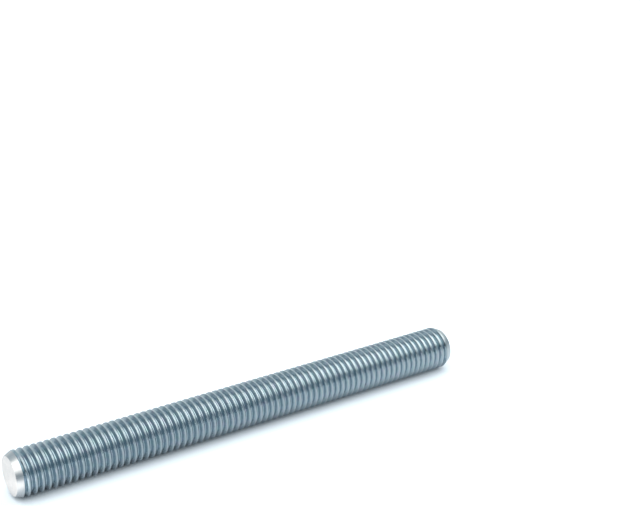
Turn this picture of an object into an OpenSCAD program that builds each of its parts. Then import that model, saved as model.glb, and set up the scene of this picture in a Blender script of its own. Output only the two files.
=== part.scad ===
// Fully threaded steel stud: one turned and rolled piece, standing on its lower end on z = 0.
// A right-hand 60 degree thread of one start runs the whole length and dies out on the
// chamfer cone at each end. All sizes are millimetres.

/* [Rod] */
// Overall length, face to face
rod_length = 132.3; // [40:0.1:300]
// Largest diameter, over the thread crests
crest_d = 12; // [8:0.1:24]
// Diameter of each flat end face
face_d = 10.1; // [5:0.1:20]
// Length of the cone at each end, along the axis
chamfer_length = 1.9; // [0.5:0.1:4]

/* [Thread] */
// Distance from one crest to the next
pitch = 1.75; // [1:0.05:3]
// Height from root to crest
thread_depth = 0.95; // [0.5:0.01:2]
// Width of the flat on top of the crest
crest_flat = 0.38; // [0.1:0.01:0.6]
// Width of the floor of the groove
root_flat = 0.27; // [0.1:0.01:0.6]
// Length over which the groove rises out of full depth at each end
runout_length = 0.9; // [0.3:0.1:3]

/* [Hidden] */
// Facets in one turn of the thread
steps = 18;
// Radii
crest_r = crest_d / 2;
face_r = face_d / 2;
// Whole turns that cover the length, with a spare one beyond each end
first_turn = -2;
turns = ceil(rod_length / pitch) + 4;

// Depth of the groove at a height: none on the end cones, full along the body
function groove(z) =
    let (inside = min(z, rod_length - z) - chamfer_length + runout_length / 2)
    thread_depth * max(0, min(1, inside / runout_length));

// Axial place of the four corners of one thread, from floor to floor
function corner(j) =
    [root_flat / 2, (pitch - crest_flat) / 2, (pitch + crest_flat) / 2, pitch - root_flat / 2][j];

// One point of the winding: step i along the helix, corner j across the thread
function winding_point(i, j) =
    let (
        angle = 360 * i / steps,
        z = pitch * (first_turn + i / steps) + corner(j),
        floor_point = j == 0 || j == 3,
        r = crest_r - (floor_point ? groove(z) : 0)
    )
    [r * cos(angle), r * sin(angle), z];

// Two triangles of one facet, from its low left, low right, high left and high right corners
function quad(a, b, c, d) = [[a, d, b], [a, c, d]];

// Triangles from a centre to each edge of a loop
function fan(centre, loop) =
    [for (k = [0:len(loop) - 1]) [centre, loop[k], loop[(k + 1) % len(loop)]]];

// The threaded bar, longer than the rod: four points for each step, and a centre at each end
module threaded_bar() {
    last = turns * steps;
    low = 4 * (last + 1);
    high = low + 1;
    points = concat(
        [for (i = [0:last], j = [0:3]) winding_point(i, j)],
        [[0, 0, pitch * (first_turn - 0.5)], [0, 0, pitch * (first_turn + turns + 1.5)]]
    );
    // one thread across: flank, crest, flank
    across = [for (i = [0:last - 1], j = [0:2]) each
        quad(4 * i + j, 4 * i + 4 + j, 4 * i + 1 + j, 4 * i + 5 + j)];
    // the floor between one turn and the next
    floors = [for (i = [0:last - steps - 1]) each
        quad(4 * i + 3, 4 * i + 7, 4 * (i + steps), 4 * (i + steps) + 4)];
    // both ends close on a centre point
    low_edge = concat([for (i = [0:steps]) 4 * i], [3, 2, 1]);
    high_edge = concat(
        [4 * (last - steps) + 3, 4 * last, 4 * last + 1, 4 * last + 2],
        [for (i = [last:-1:last - steps + 1]) 4 * i + 3]
    );
    polyhedron(
        points = points,
        faces = concat(across, floors, fan(low, low_edge), fan(high, high_edge))
    );
}

// What the turning leaves: a flat face and a cone at each end, and all of the thread between
module turned_ends() {
    spare = 1;
    slope = chamfer_length / (crest_r - face_r);
    reach = chamfer_length + spare * slope;
    rotate_extrude($fn = 72)
        polygon([
            [0, 0],
            [face_r, 0],
            [crest_r + spare, reach],
            [crest_r + spare, rod_length - reach],
            [face_r, rod_length],
            [0, rod_length]
        ]);
}

module threaded_rod() {
    color("lightsteelblue")
    intersection() {
        threaded_bar();
        turned_ends();
    }
}

threaded_rod();
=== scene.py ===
# %% [markdown]
# A threaded rod is a plain bar with one screw thread rolled along all of it. This lesson loads
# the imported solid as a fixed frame, models a finer copy of the rod over it, gives it the look of
# bright zinc plating, and sets the light and the camera of a studio picture.

import math

import bmesh
import bpy
from mathutils import Matrix, Vector


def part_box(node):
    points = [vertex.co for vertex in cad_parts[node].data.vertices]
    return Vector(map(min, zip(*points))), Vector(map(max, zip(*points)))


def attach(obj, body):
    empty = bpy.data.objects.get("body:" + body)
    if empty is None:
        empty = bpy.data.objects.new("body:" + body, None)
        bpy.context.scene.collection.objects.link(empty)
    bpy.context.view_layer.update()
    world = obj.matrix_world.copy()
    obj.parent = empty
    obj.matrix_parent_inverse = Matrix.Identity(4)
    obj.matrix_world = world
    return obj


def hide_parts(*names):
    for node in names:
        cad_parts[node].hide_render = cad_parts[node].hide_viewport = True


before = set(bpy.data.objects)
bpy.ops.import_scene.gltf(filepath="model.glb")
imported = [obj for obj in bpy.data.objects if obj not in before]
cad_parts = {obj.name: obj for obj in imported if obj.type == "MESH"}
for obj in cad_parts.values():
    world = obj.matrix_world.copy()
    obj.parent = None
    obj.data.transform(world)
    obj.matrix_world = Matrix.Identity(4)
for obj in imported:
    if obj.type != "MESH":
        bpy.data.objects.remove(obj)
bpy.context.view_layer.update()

# %% [markdown]
# A screw thread is given by few sizes: the diameter over the crests, the pitch from one crest to
# the next, the depth of the groove and the width of its flats. The solid model's box already holds
# the length and the diameter, so those two are read from it and can't drift away from the solid.

# %% Sizes of the rod
MM = 0.001
node_low, node_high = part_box("threaded_rod")
length = node_high[2] - node_low[2]
crest_r = node_high[0]
pitch = 1.75 * MM
depth = 0.95 * MM
crest_flat = 0.38 * MM
root_flat = 0.27 * MM
face_r = 5.05 * MM
chamfer = 1.9 * MM
runout = 0.9 * MM
print("length and diameter, mm:", round(length / MM, 2), round(2 * crest_r / MM, 2))

# %% [markdown]
# Editing by operators always acts on what is selected, so each helper starts by clearing the
# selection. A profile is drawn the way a draughtsman would: from one point, corner by corner.

# %% Helpers for modelling
weld_gap = 0.002 * MM


def clear_selection():
    bpy.ops.object.select_all(action="DESELECT")


def make_active(piece):
    clear_selection()
    piece.select_set(True)
    bpy.context.view_layer.objects.active = piece


def edit(piece):
    make_active(piece)
    bpy.ops.object.mode_set(mode="EDIT")


def name_active(name):
    """Names the piece that was just added, and returns it."""
    piece = bpy.context.object
    piece.name = name
    piece.data.name = name
    return piece


def apply_all(piece):
    """Applies the piece's modifiers in their order."""
    make_active(piece)
    for modifier in list(piece.modifiers):
        bpy.ops.object.modifier_apply(modifier=modifier.name)


def drawn_profile(name, corners):
    """A chain of edges in the XZ plane through corners, given as (radius, height)."""
    clear_selection()
    r, z = corners[0]
    bpy.ops.mesh.primitive_plane_add(size=pitch, location=(0, 0, 0))
    profile = name_active(name)
    bpy.ops.object.mode_set(mode="EDIT")
    bpy.ops.mesh.select_mode(type="VERT")
    bpy.ops.mesh.merge(type="CENTER")
    bpy.ops.mesh.select_all(action="SELECT")
    bpy.ops.transform.translate(value=(r, 0, z))
    for r2, z2 in corners[1:]:
        bpy.ops.mesh.extrude_region_move(TRANSFORM_OT_translate={"value": (r2 - r, 0, z2 - z)})
        r, z = r2, z2
    bpy.ops.object.mode_set(mode="OBJECT")
    return profile


print("modelling helpers ready")

# %% [markdown]
# Cut along the axis, one thread is a ridge with two sloping flanks between two half floors. It
# could be cut out of a bar with a swept tool, but such cuts are slow and leave crumbs of mesh.
# Drawing the outline once and winding it gives the same skin in clean faces.

# %% Draw one thread
half = pitch / 2
root_r = crest_r - depth
corners = [
    (root_r, 0.0),
    (root_r, root_flat / 2),
    (crest_r, half - crest_flat / 2),
    (crest_r, half + crest_flat / 2),
    (root_r, pitch - root_flat / 2),
    (root_r, pitch),
]
rod = drawn_profile("rod_thread", corners)
print("profile corners:", len(rod.data.vertices))

# %% [markdown]
# Rolling dies press the metal into shape and never leave a knife edge: the crest and the root
# both come out rounded. Rounding could be done on the wound thread, over thousands of edges.
# Bevelling the four corners of the outline first rounds every turn at once.

# %% Round the corners of the profile
tiny = 0.001 * MM
crest_rounding = 0.1 * MM
root_rounding = 0.13 * MM


def select_near(piece, test):
    """In edit mode: selects the vertices whose place passes the test."""
    bpy.ops.mesh.select_mode(type="VERT")
    bpy.ops.mesh.select_all(action="DESELECT")
    mesh = bmesh.from_edit_mesh(piece.data)
    for vert in mesh.verts:
        if test(vert.co):
            vert.select_set(True)
    mesh.select_flush_mode()
    bmesh.update_edit_mesh(piece.data)


edit(rod)
select_near(rod, lambda co: abs(co.x - crest_r) < tiny)
bpy.ops.mesh.bevel(offset=crest_rounding, segments=3, affect="VERTICES")
select_near(rod, lambda co: abs(co.x - root_r) < tiny and tiny < co.z < pitch - tiny)
bpy.ops.mesh.bevel(offset=root_rounding, segments=4, affect="VERTICES")
bpy.ops.object.mode_set(mode="OBJECT")
print("profile points:", len(rod.data.vertices))

# %% [markdown]
# A thread is a helix: it climbs by one pitch in each turn. Rings stacked on each other would look
# alike from afar, but no nut would run on them. The Screw modifier turns the outline about the axis
# and lifts it as it goes, and the points that two neighbouring turns share are merged. Spare
# turns past both ends leave something to cut away.

# %% Wind it
spare_turns = 2
turns = math.ceil(length / pitch) + 2 * spare_turns
facets_per_turn = 48
edit(rod)
bpy.ops.mesh.select_all(action="SELECT")
bpy.ops.transform.translate(value=(0, 0, -spare_turns * pitch))
bpy.ops.object.mode_set(mode="OBJECT")
winding = rod.modifiers.new("winding", "SCREW")
winding.axis = "Z"
winding.angle = math.tau
winding.screw_offset = pitch
winding.iterations = turns
winding.steps = facets_per_turn
winding.render_steps = facets_per_turn
winding.use_merge_vertices = False
apply_all(rod)
edit(rod)
bpy.ops.mesh.select_all(action="SELECT")
bpy.ops.mesh.remove_doubles(threshold=weld_gap)
bpy.ops.object.mode_set(mode="OBJECT")
print("thread:", len(rod.data.vertices), len(rod.data.polygons))

# %% [markdown]
# On a real rod the groove doesn't stop at a wall. It gets shallower as it comes to the cone at
# each end and dies out there. A tool path could be bent outwards for this. Here each point of
# the skin moves out toward the crest, by a share that falls with its distance from the end.

# %% Fade the groove out at both ends
faded = 0
for vert in rod.data.vertices:
    x, y, z = vert.co
    r = math.hypot(x, y)
    inside = min(z, length - z) - chamfer + runout / 2
    keep = max(0.0, min(1.0, inside / runout))
    new_r = crest_r - (crest_r - r) * keep
    vert.co.x, vert.co.y = x * new_r / r, y * new_r / r
    faded += keep < 1
print("points in the fading or past it:", faded)

# %% [markdown]
# The wound skin is open at both ends, and only a closed body can be cut cleanly. Each open rim is
# extruded in place and merged to one point, which closes it with a fan of triangles. The fans
# lie in the spare turns, so nothing of them is left in the end.

# %% Close both ends of the bar
def select_open_edges(piece, low):
    """In edit mode: selects the open rim at the low or the high end, and counts its edges."""
    bpy.ops.mesh.select_mode(type="EDGE")
    bpy.ops.mesh.select_all(action="DESELECT")
    mesh = bmesh.from_edit_mesh(piece.data)
    mid_height = length / 2
    for edge in mesh.edges:
        if edge.is_boundary and (edge.verts[0].co.z < mid_height) == low:
            edge.select_set(True)
    bmesh.update_edit_mesh(piece.data)
    return sum(edge.select for edge in mesh.edges)


edit(rod)
for at_low_end in (True, False):
    print("edges to close:", select_open_edges(rod, at_low_end))
    bpy.ops.mesh.extrude_region_move(TRANSFORM_OT_translate={"value": (0, 0, 0)})
    bpy.ops.mesh.merge(type="CENTER")
bpy.ops.mesh.select_all(action="SELECT")
bpy.ops.mesh.normals_make_consistent(inside=False)
bpy.ops.object.mode_set(mode="OBJECT")

# %% [markdown]
# The ends are faced flat, and a cone is turned on each so that a nut starts easily. On a lathe a
# tool takes metal off. Here the shape that the tool leaves is drawn and turned into a closed
# envelope, a little wider than the thread everywhere except at its ends.

# %% Turn the envelope of the ends
spare = 1 * MM
cone_slope = chamfer / (crest_r - face_r)
reach = chamfer + spare * cone_slope
envelope = drawn_profile(
    "turned_ends",
    [
        (0, 0),
        (face_r, 0),
        (crest_r + spare, reach),
        (crest_r + spare, length - reach),
        (face_r, length),
        (0, length),
    ],
)
turning = envelope.modifiers.new("turning", "SCREW")
turning.axis = "Z"
turning.steps = 96
turning.render_steps = 96
turning.use_merge_vertices = True
turning.merge_threshold = weld_gap
apply_all(envelope)
edit(envelope)
bpy.ops.mesh.select_all(action="SELECT")
bpy.ops.mesh.remove_doubles(threshold=weld_gap)
bpy.ops.mesh.normals_make_consistent(inside=False)
bpy.ops.object.mode_set(mode="OBJECT")
print("envelope:", len(envelope.data.vertices), len(envelope.data.polygons))

# %% [markdown]
# What the thread and the envelope have in common is the finished rod. The cut is a boolean, since
# it leaves the thread to run out on the cone in the crescent that a lathe would leave.

# %% Cut the thread to the envelope
cut = rod.modifiers.new("ends", "BOOLEAN")
cut.operation = "INTERSECT"
cut.solver = "EXACT"
cut.object = envelope
apply_all(rod)
make_active(envelope)
bpy.ops.object.delete()
print("rod after cutting:", len(rod.data.vertices), len(rod.data.polygons))

# %% [markdown]
# A mesh of small facets looks cut from glass. Smooth shading blends their normals, and an angle
# limit keeps the true corners sharp: where the cone meets the end face and the thread.

# %% Shade it smooth
sharp_from = math.radians(28)
make_active(rod)
bpy.ops.object.shade_smooth_by_angle(angle=sharp_from)
print("smooth faces:", sum(face.use_smooth for face in rod.data.polygons))

# %% [markdown]
# Materials are graphs of nodes. One small class lets their maths be written as plain Python:
# adding or multiplying two wires adds the Math node that does it.

# %% Write node maths as Python
class Wire:
    """The output of a node, with operators that add Math nodes."""

    def __init__(self, graph, socket):
        self.graph = graph
        self.socket = socket

    def __add__(self, other):
        return self.graph.math("ADD", self, other)

    def __sub__(self, other):
        return self.graph.math("SUBTRACT", self, other)

    def __rsub__(self, other):
        return self.graph.math("SUBTRACT", other, self)

    def __mul__(self, other):
        return self.graph.math("MULTIPLY", self, other)

    def __truediv__(self, other):
        return self.graph.math("DIVIDE", self, other)

    __radd__ = __add__
    __rmul__ = __mul__


class Graph:
    """A node tree that is filled from Python."""

    def __init__(self, tree):
        self.tree = tree

    def add(self, kind, settings=None, values=None, output=0):
        """Adds a node: its settings first, then a number or a wire for each named socket."""
        node = self.tree.nodes.new(kind)
        for name, value in (settings or {}).items():
            setattr(node, name, value)
        for name, value in (values or {}).items():
            if isinstance(value, Wire):
                self.tree.links.new(value.socket, node.inputs[name])
            else:
                node.inputs[name].default_value = value
        return None if output is None else Wire(self, node.outputs[output])

    def math(self, operation, *values):
        return self.add("ShaderNodeMath", {"operation": operation}, dict(enumerate(values)))

    def slope(self, value, low, high):
        """0 at low, 1 at high, flat past both, and an eased change between them."""
        settings = {"interpolation_type": "SMOOTHSTEP"}
        values = {"Value": value, "From Min": low, "From Max": high}
        return self.add("ShaderNodeMapRange", settings, values)

    def noise(self, place, scale, detail=2.0, rough=0.5):
        values = {"Vector": place, "Scale": scale, "Detail": detail, "Roughness": rough}
        return self.add("ShaderNodeTexNoise", None, values)

    def blend(self, share, one, other):
        """A colour between two others."""
        settings = {"data_type": "RGBA"}
        return self.add("ShaderNodeMix", settings, {0: share, 6: one, 7: other}, output=2)

    def point(self, x, y, z):
        return self.add("ShaderNodeCombineXYZ", None, {"X": x, "Y": y, "Z": z})

    def component(self, vector, direction):
        """How much of a vector points along a direction."""
        settings = {"operation": "DOT_PRODUCT"}
        return self.add("ShaderNodeVectorMath", settings, {0: vector, 1: direction}, output=1)

    def scaled(self, vector, factor):
        """A vector or colour times a number."""
        settings = {"operation": "SCALE"}
        return self.add("ShaderNodeVectorMath", settings, {0: vector, "Scale": factor})

    def mirrored_rays(self):
        """1 for rays that reach this surface by way of something shiny or clear."""
        glossy = self.add("ShaderNodeLightPath", output=3)
        return glossy + self.add("ShaderNodeLightPath", output=6)


print("graph helper ready")

# %% [markdown]
# Both finishes on this rod are bare metal, with a little change in colour and roughness and a
# very shallow relief. One helper joins those to a metal shader. The other one gives places in
# millimetres, because the scale of a scratch is easier to judge in them than in metres.

# %% Helpers for the metal finishes
def start_material(name):
    material = bpy.data.materials.new(name)
    material.use_nodes = True
    material.node_tree.nodes.clear()
    return material, Graph(material.node_tree)


def finish_material(graph, colour, roughness, height, relief):
    """Joins a metal shader and its bump to the material's output."""
    bump = graph.add(
        "ShaderNodeBump", None, {"Strength": 1.0, "Distance": relief, "Height": height}
    )
    metal = graph.add(
        "ShaderNodeBsdfPrincipled",
        None,
        {"Base Color": colour, "Metallic": 1.0, "Roughness": roughness, "Normal": bump},
    )
    graph.add("ShaderNodeOutputMaterial", None, {"Surface": metal}, output=None)


def place_in_mm(graph):
    """Object coordinates in millimetres, the distance from the axis and the angle round it."""
    place = graph.add("ShaderNodeTexCoord", output=3)
    spot = graph.scaled(place, 1 / MM)
    x, y, z = (graph.add("ShaderNodeSeparateXYZ", None, {0: spot}, output=k) for k in range(3))
    radius = graph.math("SQRT", x * x + y * y)
    angle = graph.math("ARCTAN2", y, x)
    return spot, (x, y, z), radius, angle


print("finish helpers ready")

# %% [markdown]
# Bright zinc plating is a mirror that has gone slightly soft: bluish, with fine streaks that the
# rolling dies left along the thread. A brushed pattern laid straight over the rod would cross the
# turns. The streaks must follow the helix, so they are worked out from the height less the share
# of a turn, which is the same all along one thread.

# %% Marks on the thread
thread_zinc, g = start_material("zinc_on_thread")
spot, (x, y, z), radius, angle = place_in_mm(g)
streak_density = 7.0
turn = (z / (pitch / MM) - angle / math.tau) * math.tau
across = g.point(
    g.math("COSINE", turn) * streak_density,
    g.math("SINE", turn) * streak_density,
    z * 0.9,
)
streaks = g.noise(across, 1.0, detail=4.0, rough=0.6)
flecks = g.noise(g.point(x * 0.9, y * 0.9, z * 4.5), 1.0, detail=3.0, rough=0.6)
grain = g.noise(spot, 9.0, detail=2.0)
clouds = g.noise(spot, 0.32, detail=2.0)
hue = g.noise(spot, 0.6, detail=2.0)
print("nodes for the marks:", len(thread_zinc.node_tree.nodes))

# %% [markdown]
# The plating isn't one colour. It drifts between two bluish greys, with a touch of violet here
# and of green there, and the crests, which rub against everything, are a little lighter and
# duller than the flanks.

# %% Zinc on the thread
depth_share = (crest_r / MM - radius) / (depth / MM)
crest_share = g.slope(depth_share, 0.10, 0.0)
cool = g.blend(clouds, (0.36, 0.47, 0.54, 1), (0.42, 0.52, 0.58, 1))
violet = g.blend(g.slope(hue, 0.5, 0.75) * 0.7, cool, (0.45, 0.48, 0.58, 1))
tinted = g.blend(g.slope(hue, 0.5, 0.25) * 0.7, violet, (0.37, 0.51, 0.53, 1))
worn = g.blend(crest_share * 0.45, tinted, (0.56, 0.63, 0.67, 1))
roughness = 0.06 + flecks * 0.14 + grain * 0.04 + crest_share * 0.06
height = streaks * 0.5 + flecks * 0.8 + grain * 0.15
rolled_relief = 0.02 * MM
finish_material(g, worn, roughness, height, rolled_relief)
print("nodes in the thread's zinc:", len(thread_zinc.node_tree.nodes))

# %% [markdown]
# The cones and the flat ends were cut on a lathe after the rolling, so their marks are rings
# round the axis. The zinc lies over them just the same, a little duller and paler. At the lower
# end it is painted darker, a painted shade that dims the light it reflects there.

# %% Zinc on the turned ends
end_zinc, g = start_material("zinc_on_turned_ends")
spot, (x, y, z), radius, angle = place_in_mm(g)
ring_density = 7.0
rings = g.noise(
    g.point(radius * ring_density, g.math("COSINE", angle), g.math("SINE", angle)), 1.0, 3.0
)
grain = g.noise(spot, 7.0, detail=3.0)
clouds = g.noise(spot, 0.5, detail=2.0)
cone_zinc = g.blend(clouds, (0.50, 0.54, 0.57, 1), (0.58, 0.62, 0.65, 1))
face_zinc = g.blend(
    g.slope(grain + clouds, 0.8, 1.2), (0.74, 0.75, 0.76, 1), (0.83, 0.83, 0.83, 1)
)
on_face = g.slope(radius, face_r / MM + 0.02, face_r / MM - 0.04)
ends = g.blend(on_face, cone_zinc, face_zinc)
# Painted shade: both turned surfaces get a darker colour at the lower end, to dim what they
# reflect.
shaded_lower_end = g.slope(z, 6.0, 3.0)
ends = g.blend(shaded_lower_end * 0.8, ends, (0.41, 0.49, 0.53, 1))
roughness = 0.2 + rings * 0.1 + grain * 0.08
turned_relief = 0.01 * MM
finish_material(g, ends, roughness, rings * 0.6 + grain * 0.4, turned_relief)
print("nodes in the ends' zinc:", len(end_zinc.node_tree.nodes))

# %% [markdown]
# One mesh can carry two finishes, each on its own faces. The turned faces are found by place: at
# either end, or within the length of a cone and no deeper than its surface. The rest of the rod
# keeps the first finish.

# %% Give the turned faces their finish
at_end = 0.01 * MM
under_cone = 0.03 * MM
rod.data.materials.clear()
rod.data.materials.append(thread_zinc)
rod.data.materials.append(end_zinc)
edit(rod)
bpy.ops.mesh.select_mode(type="FACE")
bpy.ops.mesh.select_all(action="DESELECT")
mesh = bmesh.from_edit_mesh(rod.data)
for face in mesh.faces:
    centre = face.calc_center_median()
    inside = min(centre.z, length - centre.z)
    cone_r = face_r + inside * (crest_r - face_r) / chamfer
    r = math.hypot(centre.x, centre.y)
    if inside < at_end or (inside < chamfer and r > cone_r - under_cone):
        face.select_set(True)
bmesh.update_edit_mesh(rod.data)
print("turned faces:", sum(face.select for face in mesh.faces))
rod.active_material_index = 1
bpy.ops.object.material_slot_assign()
bpy.ops.object.mode_set(mode="OBJECT")

# %% [markdown]
# The picture shows the rod lying on a white table, seen from low down. The rod is stored standing
# on its end, so the table is stood up with it: a wide card that touches the crests on one side.

# %% Directions of the picture
facing = math.radians(203.25)
toward_camera = Vector((math.cos(facing), math.sin(facing), 0))
downward = Vector((math.sin(facing), -math.cos(facing), 0))
lean = math.radians(28)
table_up = math.sin(lean) * toward_camera - math.cos(lean) * downward
table_front = math.cos(lean) * toward_camera + math.sin(lean) * downward
print("the table faces:", [round(v, 2) for v in table_up])

# %% [markdown]
# The table needs no thickness here, because only its top is seen, so it is one big plane. It is
# turned to face the way that the table's top does and stands a hair's breadth off the crests,
# and its edges lie far outside the picture.

# %% Stand the table up
card_size = 8.0
card_gap = 0.01 * MM
clear_selection()
middle = Vector((0, 0, length / 2))
turned = table_up.to_track_quat("Z", "Y").to_euler()
bpy.ops.mesh.primitive_plane_add(
    size=card_size, location=middle - table_up * (crest_r + card_gap), rotation=turned
)
table = name_active("white_table")
print("table's edge, m:", card_size)

# %% [markdown]
# A white table in a white room photographs as plain white. The card is lit by the same light as
# the rod and so keeps its shadow, and a glow of its own lifts it to white for the camera. The
# glow follows the open sky over each place, which is little close to the rod.

# %% What the camera sees of the table
white, g = start_material("white_card")
shadow_reach = 15 * MM
camera_glow = 0.86
paper = g.add("ShaderNodeBsdfDiffuse", None, {"Color": (0.53, 0.575, 0.62, 1)})
seen = g.add("ShaderNodeLightPath", output=0)
mirrored = g.mirrored_rays()
open_sky = g.add(
    "ShaderNodeAmbientOcclusion", {"samples": 12}, {"Distance": shadow_reach}, output=1
)
print("nodes for the camera's view:", len(white.node_tree.nodes))

# %% [markdown]
# Metal also shows the table, so the reflected table has a level of its own. It is brighter by
# the rod's side, toward its lower end, and just past its upper end, where it lights the end face.
# Close to the rod the reflected light is a little bluer than further out.

# %% What the metal sees of the table
spot = g.add("ShaderNodeNewGeometry", output=0)
aside = g.component(spot, table_front)
beyond = g.add("ShaderNodeSeparateXYZ", None, {0: spot}, 2) - length
off_axis = g.math("ABSOLUTE", aside)
beside_rod = g.slope(off_axis, 40 * MM, 15 * MM) * 0.10
next_to_rod = g.slope(off_axis, 11 * MM, 6 * MM) * 0.30
lower_end = g.slope(beyond, -30 * MM, -120 * MM) * 0.12
in_front = g.slope(beyond, 0, 3 * MM) * g.slope(beyond, 20 * MM, 12 * MM)
lit_side = g.slope(aside, 0, 3 * MM) * g.slope(aside, 45 * MM, 30 * MM)
shine = mirrored * (0.08 + (beside_rod + next_to_rod) + lower_end) * open_sky
shine = shine + mirrored * in_front * (0.27 + lit_side * 0.82)
under_rod = g.slope(off_axis, 12 * MM, 6 * MM) * g.slope(beyond, 2 * MM, 0)
cast = g.blend(under_rod, (1.04, 0.96, 0.90, 1), (0.90, 0.95, 0.98, 1))
print("nodes with the reflected light:", len(white.node_tree.nodes))

# %% [markdown]
# Both levels scale the colour of one glow that is added to the paper. The card is clear from
# behind, so that the back of the rod can be looked at too.

# %% White card
glow_hue = g.blend(seen, cast, (0.82, 0.93, 1.00, 1))
glow_colour = g.scaled(glow_hue, seen * open_sky * camera_glow + shine)
glow = g.add("ShaderNodeEmission", None, {"Color": glow_colour, "Strength": 1.0})
lit = g.add("ShaderNodeAddShader", None, {0: paper, 1: glow})
from_behind = g.add("ShaderNodeNewGeometry", output=6)
clear = g.add("ShaderNodeBsdfTransparent")
card = g.add("ShaderNodeMixShader", None, {0: from_behind, 1: lit, 2: clear})
g.add("ShaderNodeOutputMaterial", None, {"Surface": card}, output=None)
table.data.materials.append(white)
print("nodes in the white card:", len(white.node_tree.nodes))

# %% [markdown]
# Metal shows what stands round it, so the light decides its look. Lamps would do, but the room is
# easier to shape when it is painted on the world. Each ray of the room has an angle over the
# table, from the front round to the back, and a share along the rod, from end to end.

# %% Directions in the room
world = bpy.data.worlds.new("studio")
bpy.context.scene.world = world
world.use_nodes = True
world.node_tree.nodes.clear()
g = Graph(world.node_tree)
toward = g.add("ShaderNodeTexCoord", output=0)
upward = g.component(toward, table_up)
over = g.math("ARCTAN2", upward, g.component(toward, table_front)) * (180 / math.pi)
along = g.component(toward, Vector((0, 0, 1)))


def patch(value, low, high, blur):
    """1 between low and high, with soft edges."""
    rise = g.slope(value, low - blur, low + blur)
    return rise * g.slope(value, high + blur, high - blur)


def soft_box(angles, places, radiance):
    """Light from a patch: angles over the table in degrees and places along the rod."""
    return patch(over, *angles) * patch(along, *places) * radiance


print("nodes for directions:", len(world.node_tree.nodes))

# %% [markdown]
# The room is dim all round, and dark past the rod's upper end. Two bright boxes hang overhead:
# the crests show the first, and the flanks that face the lower end show the second, which has a
# brighter core. Pale walls and a faint horizon fill the sides. Each patch is given by two edges
# and a blur for the angle, the same for the place along the rod, and its radiance.

# %% Soft boxes
overhead = [
    ((34, 102, 17), (0.00, 0.68, 0.14), 2.3),
    ((46, 111, 17), (-0.85, -0.42, 0.10), 1.7),
    ((48, 100, 17), (-0.85, -0.62, 0.08), 0.75),
]
walls_behind = [
    ((122, 210, 14), (-1.5, 0.15, 0.20), 0.50),
    ((158, 210, 10), (0.15, 0.50, 0.15), 0.5),
    ((112, 148, 12), (0.22, 0.78, 0.10), 0.40),
]
horizon_in_front = [
    ((-40, 8, 10), (-1.5, -0.52, 0.12), 0.65),
    ((-40, 8, 10), (0.42, 0.78, 0.10), 0.15),
]
past_upper_end = [((30, 140, 17), (0.85, 1.50, 0.10), 0.36)]
room = 0.32 * g.slope(along, 0.90, 0.70) + 0.12 * g.slope(along, 0.30, 0.10)
for box in overhead + walls_behind + horizon_in_front + past_upper_end:
    room = room + soft_box(*box)
print("nodes with the boxes:", len(world.node_tree.nodes))

# %% [markdown]
# Bright light from a lamp is warmer than what the walls throw back, so the tint follows the
# level. The camera itself sees none of the boxes: for its rays the world is plain white.

# %% Colour of the light
seen = g.add("ShaderNodeLightPath", output=0)
mirrored = g.mirrored_rays()
strength = room * (1 - seen) + seen + mirrored * 0.02
tint = g.blend(g.slope(room, 0.4, 1.3), (0.80, 0.94, 1.02, 1), (1.04, 1, 0.94, 1))
plain = g.blend(seen, tint, (1, 1, 1, 1))
backdrop = g.add("ShaderNodeBackground", None, {"Color": plain, "Strength": strength})
g.add("ShaderNodeOutputWorld", None, {"Surface": backdrop}, output=None)
print("nodes in the room's light:", len(world.node_tree.nodes))

# %% [markdown]
# The camera stands where the photographer's did. Its place came from fitting the picture's thread
# crests, outline and ends; its two directions say where right and up are in the picture.

# %% Camera
camera_place = Vector((-285.952, -122.972, 220.349)) * MM
bpy.ops.object.camera_add(location=camera_place)
camera = bpy.context.object
camera.name = "camera"
right = Vector((-0.550708, 0.077259, -0.831116))
up = Vector((0.165925, -0.965704, -0.199715))
aim = Matrix((right, up, right.cross(up))).transposed()
camera.rotation_euler = aim.to_euler()
camera.data.lens = 72.459
camera.data.sensor_width = 36
camera.data.clip_start = 0.01
bpy.context.scene.camera = camera
print("from the camera to the rod's middle, mm:", round((camera_place - middle).length / MM))

# %% [markdown]
# A view transform bends the colours of a render as film does. Standard leaves them as they are, so
# a table that is worked out to be white comes out white.

# %% Studio settings
bpy.context.scene.view_settings.view_transform = "Standard"
print("view transform:", bpy.context.scene.view_settings.view_transform)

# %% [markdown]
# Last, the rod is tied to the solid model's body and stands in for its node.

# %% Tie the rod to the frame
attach(rod, "root")
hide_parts("threaded_rod")
